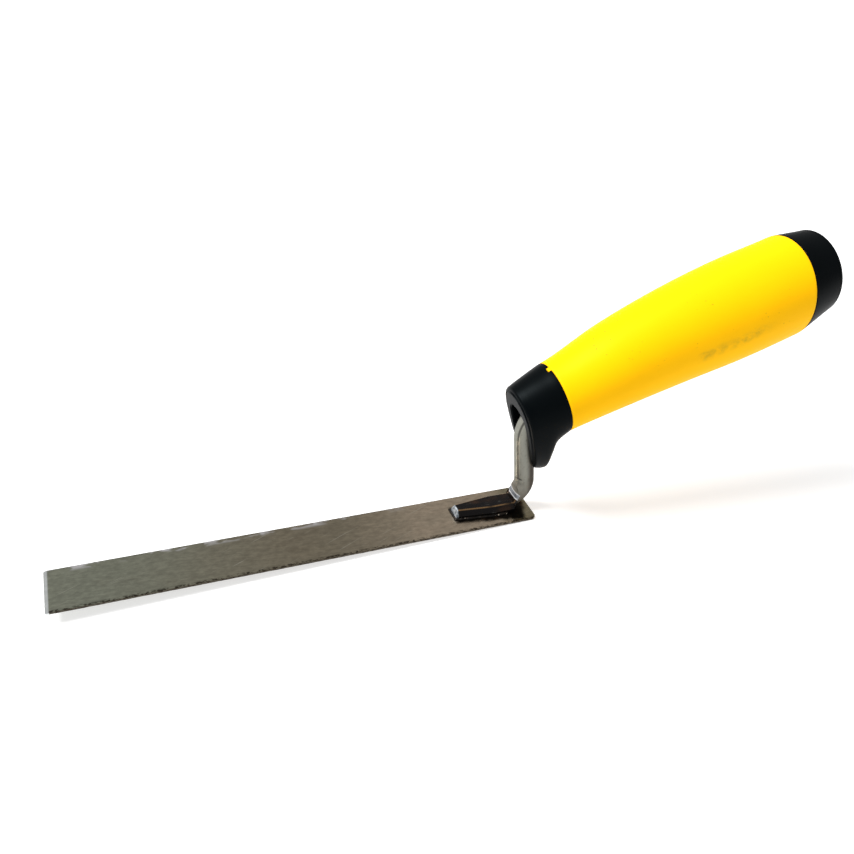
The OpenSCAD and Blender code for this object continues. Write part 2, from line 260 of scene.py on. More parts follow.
def apply_modifiers(obj):
    graph = bpy.context.evaluated_depsgraph_get()
    mesh = bpy.data.meshes.new_from_object(obj.evaluated_get(graph))
    obj.modifiers.clear()
    obj.data = mesh


def cut(obj, cutter, operation="DIFFERENCE"):
    boolean = obj.modifiers.new("cut", "BOOLEAN")
    boolean.operation = operation
    boolean.solver = "EXACT"
    boolean.object = cutter
    apply_modifiers(obj)
    bpy.data.objects.remove(cutter)


def wobble(x, y, z, scale, seed=0):
    """Smooth repeatable noise between about -1 and 1 at a place in millimetres."""
    return noise.noise(Vector((x * scale + seed * 17.3, y * scale, z * scale)))


# ---- shader helpers -------------------------------------------------------------------------

class Shader:
    """A material's node tree with short ways to add what every material here needs."""

    def __init__(self, name):
        self.material = bpy.data.materials.new(name)
        self.material.use_nodes = True
        self.tree = self.material.node_tree
        self.bsdf = self.tree.nodes["Principled BSDF"]
        self.place = self.add("ShaderNodeTexCoord").outputs["Object"]

    def add(self, kind, **settings):
        node = self.tree.nodes.new(kind)
        for key, value in settings.items():
            setattr(node, key, value)
        return node

    def put(self, socket, value):
        if hasattr(value, "is_linked"):
            self.tree.links.new(value, socket)
        else:
            socket.default_value = value

    def math(self, operation, a, b=0.0):
        node = self.add("ShaderNodeMath", operation=operation)
        self.put(node.inputs[0], a)
        self.put(node.inputs[1], b)
        return node.outputs[0]

    def times(self, *factors):
        return reduce(lambda a, b: self.math("MULTIPLY", a, b), factors)

    def plus(self, *terms):
        return reduce(lambda a, b: self.math("ADD", a, b), terms)

    def minus(self, a, b):
        return self.math("SUBTRACT", a, b)

    def apart(self, a, b):
        """Distance between two values."""
        return self.math("ABSOLUTE", self.minus(a, b))

    def axis(self, name):
        """X, Y or Z of the place on the object, in millimetres."""
        split = self.add("ShaderNodeSeparateXYZ")
        self.put(split.inputs[0], self.place)
        return self.times(split.outputs[name], 1 / MM)

    def turned(self, degrees):
        """The place on the object, turned about Z."""
        node = self.add("ShaderNodeMapping")
        self.put(node.inputs["Vector"], self.place)
        node.inputs["Rotation"].default_value = (0, 0, math.radians(degrees))
        return node.outputs[0]

    def handle_axes(self):
        """Distance along the handle's axis and height over it, in millimetres."""
        x = self.minus(self.axis("X"), HANDLE_X)
        z = self.minus(self.axis("Z"), HANDLE_Z)
        c, s = math.cos(PITCH), math.sin(PITCH)
        along = self.plus(self.times(x, c), self.times(z, s))
        up = self.minus(self.times(z, c), self.times(x, s))
        return along, up

    def shade(self, colour, value, amount):
        """colour made darker or lighter by up to amount as value goes from 0 to 1."""
        low, high = [(v, v, v) for v in (1 - amount, 1 + amount)]
        return self.blend(1.0, colour, self.blend(value, low, high), "MULTIPLY")

    def noise(self, size_mm, detail=3.0, stretch=(1, 1, 1), offset=0.0, roughness=0.5, place=None):
        """Noise from 0 to 1 with features of about size_mm, longer along an axis by its stretch.

        offset reads another part of the pattern.
        """
        scaling = self.add("ShaderNodeMapping")
        self.put(scaling.inputs["Vector"], place or self.place)
        scaling.inputs["Scale"].default_value = [1 / (size_mm * MM * s) for s in stretch]
        scaling.inputs["Location"].default_value = (offset, offset * 0.7, offset * 1.3)
        texture = self.add("ShaderNodeTexNoise")
        self.put(texture.inputs["Vector"], scaling.outputs[0])
        texture.inputs["Scale"].default_value = 1.0
        texture.inputs["Detail"].default_value = detail
        texture.inputs["Roughness"].default_value = roughness
        return texture.outputs["Fac"]

    def ramp(self, value, low, high, out_low=0.0, out_high=1.0):
        """value carried from low..high to out_low..out_high, held outside that range."""
        node = self.add("ShaderNodeMapRange", interpolation_type="SMOOTHSTEP")
        for socket, v in zip(node.inputs[:5], (value, low, high, out_low, out_high)):
            self.put(socket, v)
        return node.outputs[0]

    def blend(self, factor, a, b, blend_type="MIX"):
        node = self.add("ShaderNodeMix", data_type="RGBA", blend_type=blend_type)
        self.put(node.inputs[0], factor)
        for socket, colour in ((node.inputs[6], a), (node.inputs[7], b)):
            self.put(socket, colour if hasattr(colour, "is_linked") else (*colour, 1.0))
        return node.outputs[2]

    def lay(self, tone, colour, mask, amount):
        """tone with colour over it where mask is 1, as strongly as amount."""
        return self.blend(self.times(mask, amount), tone, colour)

    def bump(self, height, depth_mm, under=None):
        node = self.add("ShaderNodeBump")
        node.inputs["Strength"].default_value = 1.0
        node.inputs["Distance"].default_value = depth_mm * MM
        self.put(node.inputs["Height"], height)
        if under is not None:
            self.put(node.inputs["Normal"], under)
        return node.outputs["Normal"]

    def set(self, **sockets):
        names = {"color": "Base Color", "rough": "Roughness", "metal": "Metallic",
                 "normal": "Normal", "specular": "Specular IOR Level", "tint": "Specular Tint"}
        for key, value in sockets.items():
            if key in ("color", "tint") and not hasattr(value, "is_linked"):
                value = (*value, 1.0)
            self.put(self.bsdf.inputs[names[key]], value)
        return self.material


# ---- materials ------------------------------------------------------------------------------

# Angles, in degrees, of the blade's brushing and of its stray scratches
BRUSH_ANGLE = 7.0
SCRATCH_ANGLE = -24.0
# How fast the burnt patch, with its painted shade beside the foot, widens behind the foot's front
BURN_AND_SHADE_SPREAD = 0.16
# The grip's rub mark: its stretch along the handle, its height over the axis and its half width
RUB_FROM, RUB_TO, RUB_UP, RUB_HALF = 46.0, 80.0, 0.8, 3.4
# Heights between which the brown of the weld's heat fades out up the riser
HEAT_LOW_Z, HEAT_TOP_Z = 8, 22

# Colours of the blade, linear red, green and blue. A pair is two tones that a pattern mixes
COOL_STEEL = (0.275, 0.285, 0.222), (0.315, 0.325, 0.255)
WARM_STEEL = (0.285, 0.245, 0.175), (0.26, 0.225, 0.165)
HOT_STEEL = (0.50, 0.395, 0.29), (0.40, 0.335, 0.25)
HEEL_OLIVE = (0.23, 0.20, 0.125)
SCRATCH_PALE = (0.62, 0.60, 0.52)
STAIN_BROWN = (0.12, 0.09, 0.06)
# burnt scale, partly painted shadow and reflection of the foot
BURNT_SCALE_AND_SHADE = (0.006, 0.005, 0.004), (0.045, 0.024, 0.013)
SHEARED_DARK = (0.055, 0.047, 0.036)
FLECK_DARK = (0.030, 0.022, 0.016)
FAR_EDGE_PALE = (0.86, 0.84, 0.86)
BEVEL_BRIGHT = (0.74, 0.76, 0.76)
# Colours of the tang
ROD_STEEL = (0.175, 0.175, 0.150), (0.250, 0.250, 0.216)
PIT_DARK = (0.09, 0.085, 0.07)
HEAT_BROWN = (0.090, 0.072, 0.055)
# painted shade for the back of the riser
BACK_SHADE_BROWN = (0.036, 0.027, 0.019)
# painted shade for the flash line's crease and its step
CREASE_SHADE = (0.016, 0.015, 0.013)
FOOT_SCALE = (0.007, 0.006, 0.006), (0.035, 0.018, 0.010)
SMEAR_GREY = (0.11, 0.11, 0.10)
# painted highlight along the foot's ridges
RIDGE_HIGHLIGHT_GOLD = (0.22, 0.13, 0.06)
END_STEEL = (0.12, 0.14, 0.16), (0.40, 0.44, 0.48)
FACET_STEEL = (0.08, 0.088, 0.10), (0.20, 0.215, 0.24)
# painted highlight along the pressed facet's rims
RIM_HIGHLIGHT = (0.70, 0.71, 0.72)
JOINT_RUST = (0.03, 0.015, 0.01)
# Colours of the weld and the plastics
WELD_SCALE = (0.006, 0.005, 0.004), (0.03, 0.018, 0.011)
# painted glints on the weld's spatter
SPATTER_GLINT = (0.6, 0.52, 0.42)
BLACK = (0.0009, 0.0014, 0.0017), (0.0016, 0.0023, 0.0027)
BLACK_SHEEN = (0.80, 0.95, 1.0)
YELLOW = (0.92, 0.480, 0.0015), (0.95, 0.505, 0.002)
RUB_BROWN = (0.36, 0.235, 0.02)
SPECK_BROWN = (0.16, 0.09, 0.01)
CORE_GREY = (0.035, 0.036, 0.04), (0.055, 0.056, 0.06)
# Tints that hold back the highlights of the worn steels
BLADE_SHEEN, TANG_SHEEN = (0.6, 0.6, 0.6), (0.5, 0.5, 0.5)


def make_blade_steel():
    sh = Shader("blade_steel")
    x, y = sh.axis("X"), sh.axis("Y")
    across = sh.math("ABSOLUTE", y)
    # tone along the blade: cold olive grey at the tip, browner towards the weld
    cool = sh.blend(sh.noise(22, 2, (2, 1, 1)), *COOL_STEEL)
    warm = sh.blend(sh.noise(16, 3, (2, 1, 1), offset=3), *WARM_STEEL)
    hot = sh.blend(sh.noise(7, 3, (2, 1, 1), offset=6), *HOT_STEEL)
    wandering_x = sh.plus(x, sh.times(sh.noise(14, 2), 14))
    tone = sh.blend(sh.ramp(wandering_x, -70, 10), cool, warm)
    tone = sh.blend(sh.ramp(wandering_x, 16, 58), tone, hot)
    # the heel behind the foot is an olive brown
    tone = sh.lay(tone, HEEL_OLIVE, sh.ramp(x, FOOT_REAR - 6, HEEL_X - 4), 0.85)
    # mottling and fine brushing, a few degrees off the blade's length
    mottle = sh.noise(1.6, 4, (1.6, 1, 1), offset=11, roughness=0.65)
    brushed = sh.turned(BRUSH_ANGLE)
    fine = sh.noise(0.22, 2, (26, 1, 1), offset=5, place=brushed)
    coarse = sh.noise(0.6, 3, (8, 1, 1), offset=9, place=brushed)
    streaks = sh.plus(sh.times(fine, 0.5), sh.times(coarse, 0.5))
    tone = sh.shade(tone, sh.ramp(mottle, 0.3, 0.7), 0.12)
    tone = sh.shade(tone, sh.ramp(streaks, 0.3, 0.7), 0.09)
    # a few thin bright scratches that run the other way
    scratches = sh.noise(0.5, 1, (34, 1, 1), offset=37, place=sh.turned(SCRATCH_ANGLE))
    tone = sh.blend(sh.ramp(scratches, 0.68, 0.76, 0, 0.35), tone, SCRATCH_PALE)
    # stains: a few darker, browner patches
    stain = sh.ramp(sh.noise(6, 4, (2.2, 1, 1), offset=15, roughness=0.6), 0.56, 0.72)
    tone = sh.lay(tone, STAIN_BROWN, stain, 0.22)
    # burnt scale round the foot: wide on the near side, narrow on the far one, and behind; its wide
    # near-side part is painted shadow and reflection of the foot
    fray = sh.times(sh.minus(sh.noise(2.6, 4, offset=2), 0.5), 2.6)
    spread = sh.times(sh.minus(x, FOOT_FRONT), BURN_AND_SHADE_SPREAD)
    near = sh.ramp(sh.minus(sh.minus(fray, y), spread), FOOT_HALF + 1.3, FOOT_HALF - 0.4)
    far = sh.ramp(sh.plus(y, fray), FOOT_HALF + 0.9, FOOT_HALF - 0.7)
    rounded_x = sh.plus(x, sh.times(across, 0.40), fray)
    behind = sh.ramp(rounded_x, HEEL_X + 0.3, HEEL_X - 2.2)
    ahead = sh.ramp(sh.plus(x, fray), FOOT_FRONT - 1.2, FOOT_FRONT + 0.8)
    # it lies on the blade's top only: the underside is tinted by the heat but not scaled
    on_top = sh.ramp(sh.axis("Z"), 0.4 * BLADE_T, 0.8 * BLADE_T)
    burnt_and_shade = sh.times(near, far, behind, ahead, on_top)
    char_and_shade = sh.blend(sh.ramp(sh.noise(3, 3, offset=21), 0.5, 0.75), *BURNT_SCALE_AND_SHADE)
    tone = sh.lay(tone, char_and_shade, burnt_and_shade, 0.98)
    # dark sheared sides, with rough flecks that bite into the near edge
    side = sh.ramp(across, BLADE_HALF - 0.16, BLADE_HALF - 0.08)
    tone = sh.lay(tone, SHEARED_DARK, side, 0.9)
    torn = sh.noise(0.8, 4, (1.9, 1, 1), offset=4, roughness=0.75)
    near_edge = sh.ramp(sh.times(y, -1.0), BLADE_HALF - 1.3, BLADE_HALF - 0.4)
    flecks = sh.times(near_edge, sh.ramp(torn, 0.48, 0.54))
    tone = sh.lay(tone, FLECK_DARK, flecks, 0.92)
    # the far edge is lighter in dashes
    far_edge_pale = sh.times(sh.ramp(y, BLADE_HALF - 2.8, BLADE_HALF - 0.7),
                    sh.ramp(sh.noise(3.0, 2, (2.0, 1, 1), offset=33), 0.48, 0.64),
                    sh.ramp(x, FOOT_FRONT, 0), sh.minus(1.0, side))
    tone = sh.lay(tone, FAR_EDGE_PALE, far_edge_pale, 0.8)
    # the ground bevel at the tip is bright
    tip = sh.ramp(x, TIP_X + BEVEL_LEN + 0.2, TIP_X + BEVEL_LEN - 0.3)
    tone = sh.lay(tone, BEVEL_BRIGHT, tip, 0.85)
    rough = sh.plus(sh.times(streaks, 0.08), sh.times(mottle, 0.12), sh.times(burnt_and_shade, 0.12), 0.11)
    normal = sh.bump(streaks, 0.003)
    normal = sh.bump(torn, 0.02, normal)
    normal = sh.bump(sh.noise(15, 2, (2, 1, 1), offset=6), 0.03, normal)
    return sh.set(color=tone, rough=rough, metal=1.0, normal=normal, tint=BLADE_SHEEN)


def flash_crease_shade(sh, z, forward):
    """Mask of painted shade in the crease down the riser's flash line, and at the step at its lower
    end.
    """
    flash_y = ROD_R * math.cos(math.radians(FLASH_ANGLE))
    off_line = sh.apart(sh.axis("Y"), flash_y)
    crease = sh.times(sh.ramp(off_line, 0.50, 0.14),
                      sh.ramp(z, FLASH_LOW_Z - 0.3, FLASH_LOW_Z + 0.3))
    step = sh.times(sh.ramp(sh.apart(z, FLASH_LOW_Z), 0.45, 0.12), sh.ramp(off_line, 1.5, 1.1))
    return sh.times(sh.math("MAXIMUM", crease, step), sh.ramp(forward, 0.4, 0.9))


def foot_scale_and_highlight(sh, x, z):
    """Colour of the foot: black scale, smeared grey, and a painted golden highlight along its
    ridges.
    """
    scale = sh.blend(sh.ramp(sh.noise(5, 3, (2, 1, 1), offset=8), 0.55, 0.8), *FOOT_SCALE)
    smears = sh.ramp(sh.noise(1.6, 4, (3, 1, 1), offset=12, roughness=0.6), 0.6, 0.72)
    scale = sh.lay(scale, SMEAR_GREY, smears, 0.35)
    # painted highlight: a golden line along the ridge beside the foot's top
    taper = sh.math("MINIMUM", sh.math("DIVIDE", sh.minus(x, FOOT_FRONT), FOOT_TAPER), 1)
    ridge_y = sh.plus(sh.times(taper, FOOT_HALF - FOOT_TIP_HALF), FOOT_TIP_HALF - FOOT_BEVEL)
    off_ridge = sh.apart(sh.math("ABSOLUTE", sh.axis("Y")), ridge_y)
    ridge_highlight = sh.times(sh.ramp(off_ridge, 0.32, 0.10),
                    sh.ramp(z, BLADE_T + FOOT_H - 0.5, BLADE_T + FOOT_H - 0.2),
                    sh.ramp(sh.noise(2.5, 3, (3, 1, 1), offset=17), 0.3, 0.5))
    return sh.lay(scale, RIDGE_HIGHLIGHT_GOLD, ridge_highlight, 0.8)


def make_tang_steel():
    sh = Shader("tang_steel")
    x, z = sh.axis("X"), sh.axis("Z")
    tone = sh.blend(sh.noise(7, 3, (1, 1, 3)), *ROD_STEEL)
    pits = sh.ramp(sh.noise(0.9, 4, (1, 1, 2.5), offset=4, roughness=0.65), 0.52, 0.68)
    tone = sh.lay(tone, PIT_DARK, pits, 0.4)
    # browner low down, where the weld's heat reached
    heat = sh.ramp(sh.plus(z, sh.times(sh.noise(5, 2), 6)), HEAT_TOP_Z, HEAT_LOW_Z, 0, 0.62)
    tone = sh.blend(heat, tone, HEAT_BROWN)
    # painted shade: darker all down the back of the riser
    axis_x = sh.minus(CORNER_LOW[0] + math.tan(ROD_LEAN) * ROD_Z, sh.times(z, math.tan(ROD_LEAN)))
    forward = sh.minus(axis_x, x)
    tone = sh.blend(sh.ramp(forward, 1.2, -1.4, 0, 0.9), tone, BACK_SHADE_BROWN)
    # painted shade down the flash line's crease and at its step
    tone = sh.lay(tone, CREASE_SHADE, flash_crease_shade(sh, z, forward), 0.68)
    # the foot is scaled, but its front end is bare metal
    behind_end = sh.ramp(x, FOOT_FRONT + 0.75, FOOT_FRONT + 1.15)
    foot = sh.times(sh.ramp(x, FOOT_REAR + 1.4, FOOT_REAR + 0.8), behind_end,
                    sh.ramp(z, FACET_LOW_Z + 0.1, FACET_LOW_Z - 0.2))
    tone = sh.blend(foot, tone, foot_scale_and_highlight(sh, x, z))
    front = sh.blend(sh.ramp(sh.noise(1.2, 3, offset=41), 0.35, 0.65), *END_STEEL)
    tone = sh.blend(behind_end, front, tone)
    # a band of the pressed facet is bare metal too, with a painted highlight along its rims above
    # and below
    facet = sh.plus(sh.times(z, 1 / FACET_SLOPE), FOOT_REAR - (BLADE_T + FOOT_H) / FACET_SLOPE)
    pressed = sh.times(sh.ramp(sh.minus(x, facet), 0.30, 0.10),
                       sh.ramp(z, FACET_LOW_Z - 0.2, FACET_LOW_Z + 0.1),
                       sh.ramp(z, FACET_TOP_Z + 0.2, FACET_TOP_Z - 0.3))
    bright = sh.blend(sh.ramp(sh.noise(1.6, 3, offset=43), 0.35, 0.65), *FACET_STEEL)
    off_rims = [sh.apart(z, rim) for rim in (FACET_LOW_Z, FACET_TOP_Z)]
    bright = sh.blend(sh.ramp(sh.math("MINIMUM", *off_rims), 0.45, 0.15), bright, RIM_HIGHLIGHT)
    tone = sh.lay(tone, bright, pressed, 0.85)
    # the low end of the riser is reddish black round the joint with the foot
    joint = sh.times(sh.ramp(x, FOOT_REAR + 0.2, FOOT_REAR + 0.8),
                     sh.ramp(z, BLADE_T + 2.9, BLADE_T + 2.1))
    tone = sh.lay(tone, JOINT_RUST, joint, 0.9)
    grain = sh.noise(0.45, 3, (1, 1, 5), offset=3)
    rough = sh.minus(sh.plus(0.38, sh.times(grain, 0.2)), sh.times(foot, 0.22))
    normal = sh.bump(grain, 0.010)
    normal = sh.bump(sh.noise(2.2, 2, offset=1), 0.04, normal)
    return sh.set(color=tone, rough=rough, metal=0.6, normal=normal, tint=TANG_SHEEN)


def make_weld_metal():
    sh = Shader("weld_metal")
    lumps = sh.noise(0.9, 3)
    tone = sh.blend(sh.ramp(lumps, 0.5, 0.8), *WELD_SCALE)
    # pale specks of weld spatter, painted as glints
    spatter_glints = sh.ramp(sh.noise(0.75, 1, offset=31), 0.70, 0.74)
    tone = sh.blend(spatter_glints, tone, SPATTER_GLINT)
    return sh.set(color=tone, rough=sh.ramp(lumps, 0.3, 0.7, 0.3, 0.55), metal=0.7,
                  normal=sh.bump(lumps, 0.08))


class Moulded:
    """A moulded plastic: its shader, with mould grain, scuffs and a slow change of tone."""

    def __init__(self, name, tones, rough):
        self.shader = sh = Shader(name)
        self.tone = sh.blend(sh.noise(11, 3), *tones)
        grain = sh.noise(0.28, 2)
        scuffs = sh.ramp(sh.noise(1.1, 4, (4, 1, 1), offset=6, roughness=0.7), 0.62, 0.72)
        self.rough = sh.plus(sh.times(grain, 0.10), rough, sh.times(scuffs, 0.10))
        self.normal = sh.bump(sh.noise(16, 1, offset=2), 0.08, sh.bump(grain, 0.008))

    def done(self, specular, tint=(1, 1, 1)):
        return self.shader.set(color=self.tone, rough=self.rough, normal=self.normal,
                               specular=specular, tint=tint)


def make_yellow_plastic():
    plastic = Moulded("yellow_plastic", YELLOW, 0.40)
    sh = plastic.shader
    along, up = sh.handle_axes()
    # a soft grey-brown rub mark along the near side
    wander = sh.times(sh.minus(sh.noise(9, 3, offset=5), 0.5), 6)
    off_line = sh.math("ABSOLUTE", sh.plus(sh.minus(up, RUB_UP), wander))
    rubbed = sh.times(sh.ramp(off_line, RUB_HALF, 0.2),
                      sh.ramp(along, RUB_FROM, RUB_FROM + 4),
                      sh.ramp(along, RUB_TO, RUB_TO - 14),
                      sh.ramp(sh.noise(2.6, 5, (1.3, 1, 1), offset=13, roughness=0.7), 0.30, 0.70),
                      sh.ramp(sh.axis("Y"), -2.0, -8.0))
    plastic.tone = sh.lay(plastic.tone, RUB_BROWN, rubbed, 0.60)
    # a few dark specks
    specks = sh.times(sh.ramp(sh.noise(0.6, 0, offset=23), 0.80, 0.83),
                      sh.ramp(sh.noise(16, 2, offset=27), 0.56, 0.62))
    plastic.tone = sh.lay(plastic.tone, SPECK_BROWN, specks, 0.7)
    plastic.rough = sh.plus(plastic.rough, sh.times(rubbed, 0.15))
    return plastic.done(0.03)


# ---- blade ----------------------------------------------------------------------------------

def blade_half(x):
    """Half width of the blade's outline at x, with its rounded corners."""
    for end, r in ((HEEL_X, HEEL_R), (TIP_X, TIP_R)):
        inside = r - abs(end - x)
        if inside > 0:
            return BLADE_HALF - r + math.sqrt(max(r * r - inside * inside, 0))
    return BLADE_HALF


def blade_stations():
    """Places of the blade's sections: on its rounded corners, its tip's bevel and its length."""
    tip = [TIP_X + TIP_R * (1 - math.cos(a)) for a in np.linspace(*TIP_ARC, TIP_STATIONS)]
    heel = [HEEL_X - HEEL_R * (1 - math.sin(a)) for a in np.linspace(*HEEL_ARC, HEEL_STATIONS)]
    bevel_end = TIP_X + BEVEL_LEN
    body = np.linspace(bevel_end, HEEL_X - HEEL_R, BLADE_STATIONS)[1:-1]
    return tip + [TIP_X + BEVEL_MID, bevel_end] + list(body) + heel


def blade_ring(x, half, shrink=0.0):
    """Section of the blade at x: flat faces, broken corners and rough sheared sides."""
    top = BLADE_T - BEVEL_DROP * max(0.0, 1 - (x - TIP_X) / BEVEL_LEN) - shrink
    low = shrink
    corner, far_corner = [EDGE_BREAK * (1 + BREAK_VARIES * wobble(x, y, 0, 0.9)) for y in (3, 9)]
    near_side = [half - SIDE_IN - SIDE_WAVER * wobble(x, k, 1, 1.6, k) for k in (1, 2, 3)]
    far_side = [half - SIDE_IN - SIDE_WAVER * wobble(x, k, 5, 1.6, k) for k in (4, 5, 6)]
    heights = [mix(low + EDGE_BREAK, top - EDGE_BREAK, t) for t in (0.0, 0.5, 1.0)]
    across = np.linspace(-1, 1, 9)
    ring = [(x, u * (half - corner), low) for u in across[::-1]]
    ring += [(x, -y, z) for y, z in zip(near_side, heights)]
    ring += [(x, u * (half - far_corner), top) for u in across]
    ring += [(x, y, z) for y, z in zip(far_side[::-1], heights[::-1])]
    return ring


def make_blade(material):
    stations = blade_stations()
    rings = [blade_ring(TIP_X, blade_half(stations[0]) - TIP_INSET, EDGE_BREAK)]
    rings += [blade_ring(x, blade_half(x)) for x in stations]
    rings += [blade_ring(HEEL_X, blade_half(stations[-1]) - HEEL_INSET, EDGE_BREAK)]
    blade = make_mesh("blade_sheet", *loft(rings))
    finish_piece(blade, material, "blade", sharp_angle=25)


# ---- tang -----------------------------------------------------------------------------------

def bend(start, heading, radius, turn, steps):
    """Places and headings along an arc that starts at start and turns by turn."""
    side = math.copysign(1, turn)
    centre = start + radius * side * np.array([-math.sin(heading), math.cos(heading)])
    places = []
    for k in range(steps + 1):
        h = heading + turn * k / steps
        places.append((*(centre + radius * side * np.array([math.sin(h), -math.cos(h)])), h))
    return places


def rod_places():
    """X, Z and heading along the rod's axis: lower bend, riser, upper bend and hidden end."""
    low_turn = math.pi / 2 + ROD_LEAN
    top_turn = low_turn - PITCH
    low_cut = LOW_BEND_R * math.tan(low_turn / 2)
    top_cut = TOP_BEND_R * math.tan(top_turn / 2)
    rise = CORNER_TOP_Z - ROD_Z
    corner_top = CORNER_LOW + rise * np.array([-math.tan(ROD_LEAN), 1])
    riser = np.array([-math.sin(ROD_LEAN), math.cos(ROD_LEAN)])
    low = bend(CORNER_LOW - (low_cut, 0), 0, LOW_BEND_R, low_turn, LOW_STEPS)
    top_start = corner_top - riser * top_cut
    top = bend(top_start, low_turn, TOP_BEND_R, -top_turn, TOP_STEPS)
    low_end = np.array(low[-1][:2])
    between = np.linspace(0, 1, RISER_STEPS)[1:-1]
    straight = [(*mix(low_end, top_start, t), low_turn) for t in between]
    tail = [(top[-1][0] + d * math.cos(PITCH), top[-1][1] + d * math.sin(PITCH), PITCH)
            for d in TAIL]
    return low[LOW_SKIP:], straight, top, tail


def flash_depth(angle, z):
    """How far the pressed strip beside the rod's flash line lies below the round."""
    start = unit((z - FLASH_LOW_Z) / FLASH_START)
    inside = unit((angle - FLASH_ANGLE) / FLASH_SINK)
    fade = unit((FLASH_END_ANGLE - angle) / FLASH_FADE)
    groove = math.exp(-((angle - FLASH_ANGLE - GROOVE_OFF) / GROOVE_WIDTH) ** 2)
    on_strip = FLASH_ANGLE < angle < FLASH_END_ANGLE
    step = math.exp(-((z - FLASH_LOW_Z) / STEP_LEN) ** 2) * on_strip
    return start * (FLASH_DEPTH * inside * fade + FLASH_GROOVE * groove) + FLASH_STEP * step


def facet_x(z):
    """The pressed facet that climbs from the foot's rear end to the front of the riser."""
    facet = FOOT_REAR + (z - BLADE_T - FOOT_H) / FACET_SLOPE
    riser = CORNER_LOW[0] - math.tan(ROD_LEAN) * (z - ROD_Z) - ROD_R / math.cos(ROD_LEAN)
    return min(facet, riser)


def rod_ring(x0, z0, heading, pressed=False):
    ring = []
    for i in range(RING_N):
        angle = 360 * i / RING_N
        a = math.radians(angle)
        waver = ROD_WAVER * (1 + wobble(x0, i * 0.3, z0, 0.5))
        r = ROD_R - flash_depth(angle, z0) - waver
        up = r * math.sin(a)
        x, y, z = x0 - up * math.sin(heading), r * math.cos(a), z0 + up * math.cos(heading)
        if pressed and z > BLADE_T + FOOT_H:
            x = max(x, facet_x(z))
        ring.append((x, y, z))
    return ring


def foot_ring(x, half, lean=0.0, inset=0.0):
    """Section of the foot: flat base, low upright sides, bevels up to the narrower top."""
    top = half - FOOT_BEVEL
    far_ridge = [(6 + k, top + y, FOOT_H - z) for k, y, z in FOOT_RIDGE]
    near_ridge = [(14 - k, -top - y, FOOT_H - z) for k, y, z in FOOT_RIDGE[::-1]]
    outline = [(-4, half, 0), (2, half, FOOT_SIDE_H), *far_ridge, *near_ridge,
               (18, -half, FOOT_SIDE_H), (24, -half, 0), (36, half, 0), (42, half, FOOT_SIDE_H)]
    marks, ys, zs = zip(*outline)
    ring = []
    for i in range(RING_N):
        mark = i * FOOT_MARKS / RING_N
        y = np.interp(mark, marks, ys) * (1 - inset / half)
        z = np.interp(mark, marks, zs)
        z = z * (1 - inset / FOOT_H) if z > 0 else 0
        ring.append((x + lean * z / FOOT_H, y, BLADE_T + z))
    return ring


def make_tang(material):
    low, straight, top, tail = rod_places()
    mid = FOOT_FRONT + FOOT_TAPER
    rings = [foot_ring(FOOT_FRONT + behind, FOOT_TIP_HALF + wider, FOOT_END_LEAN, inset)
             for behind, wider, inset in FOOT_END]
    rings += [foot_ring(x, mix(FOOT_TIP_HALF, FOOT_HALF, (x - FOOT_FRONT) / FOOT_TAPER))
              for x in np.linspace(FOOT_FRONT + FOOT_END_LEN, mid, TAPER_STATIONS)]
    rings += [foot_ring(x, FOOT_HALF) for x in np.linspace(mid, FOOT_REAR, FOOT_STATIONS)[1:]]
    rings += [rod_ring(*place, pressed=True) for place in low]
    rings += [rod_ring(*place) for place in straight + top + tail]
    tang = make_mesh("tang_rod", *loft(rings))
    finish_piece(tang, material, "tang", sharp_angle=28)


# ---- weld -----------------------------------------------------------------------------------

def make_weld(material):
    """A lumpy fillet up the near side of the foot, round its front and down its far side."""
    mid = FOOT_FRONT + FOOT_TAPER
    near = [(WELD_END, -FOOT_HALF, 0, -1), (mid, -FOOT_HALF, 0, -1),
            (FOOT_FRONT, -FOOT_TIP_HALF, -WELD_CORNER, -WELD_CORNER)]
    corners = near + [(x, -y, ux, -uy) for x, y, ux, uy in near[::-1]]
    rings = []
    for a, b in zip(corners, corners[1:]):
        steps = max(4, int(math.dist(a[:2], b[:2]) / WELD_STEP))
        for t in np.linspace(0, 1, steps, endpoint=False):
            x, y, ux, uy = [mix(p, q, t) for p, q in zip(a, b)]
            swell, nick = wobble(x, y, 0, 0.8), abs(wobble(x, y, 4, 2.5))
            lump = WELD_MEAN + WELD_SWELL * swell - WELD_NICK * nick
            ring = [(x + ux * WELD_GAP, y + uy * WELD_GAP, BLADE_T)]
            for angle in np.linspace(0, math.pi / 2, 9):
                u = max(WELD_GAP, WELD_REACH * lump * math.cos(angle))
                rise = WELD_HEIGHT * lump * math.sin(angle)
                ring.append((x + ux * u, y + uy * u, BLADE_T + rise))
            rings.append(ring)
    weld = make_mesh("weld_fillet", *loft(rings))
    finish_piece(weld, material, "weld_bead", sharp_angle=60)


# ---- handle ---------------------------------------------------------------------------------

def oval_ring(s, lean, top, low, side):
    ring = []
    for i in range(HANDLE_N):
        a = math.tau * i / HANDLE_N
        e = (top - low) / 2 + (top + low) / 2 * math.sin(a)
        ring.append(on_handle(s + math.tan(math.radians(lean)) * e, side * math.cos(a), e))
    return ring


def grip_ring(s, inset=0.0):
    u = s / GRIP_LEN
    top, low, side = [smooth(v, u) - inset for v in (GRIP_TOP, GRIP_LOW, GRIP_SIDE)]
    return oval_ring(s, mix(FRONT_LEAN, REAR_LEAN, u), top, low, side)


def rounded(s_end, direction):
    """Stations and insets of the small round at a shell's end, from the end inwards."""
    return [(s_end + direction * JOINT_R * (1 - math.cos(a)), JOINT_R * (1 - math.sin(a)))
            for a in np.linspace(0, math.pi / 2, JOINT_STEPS)]


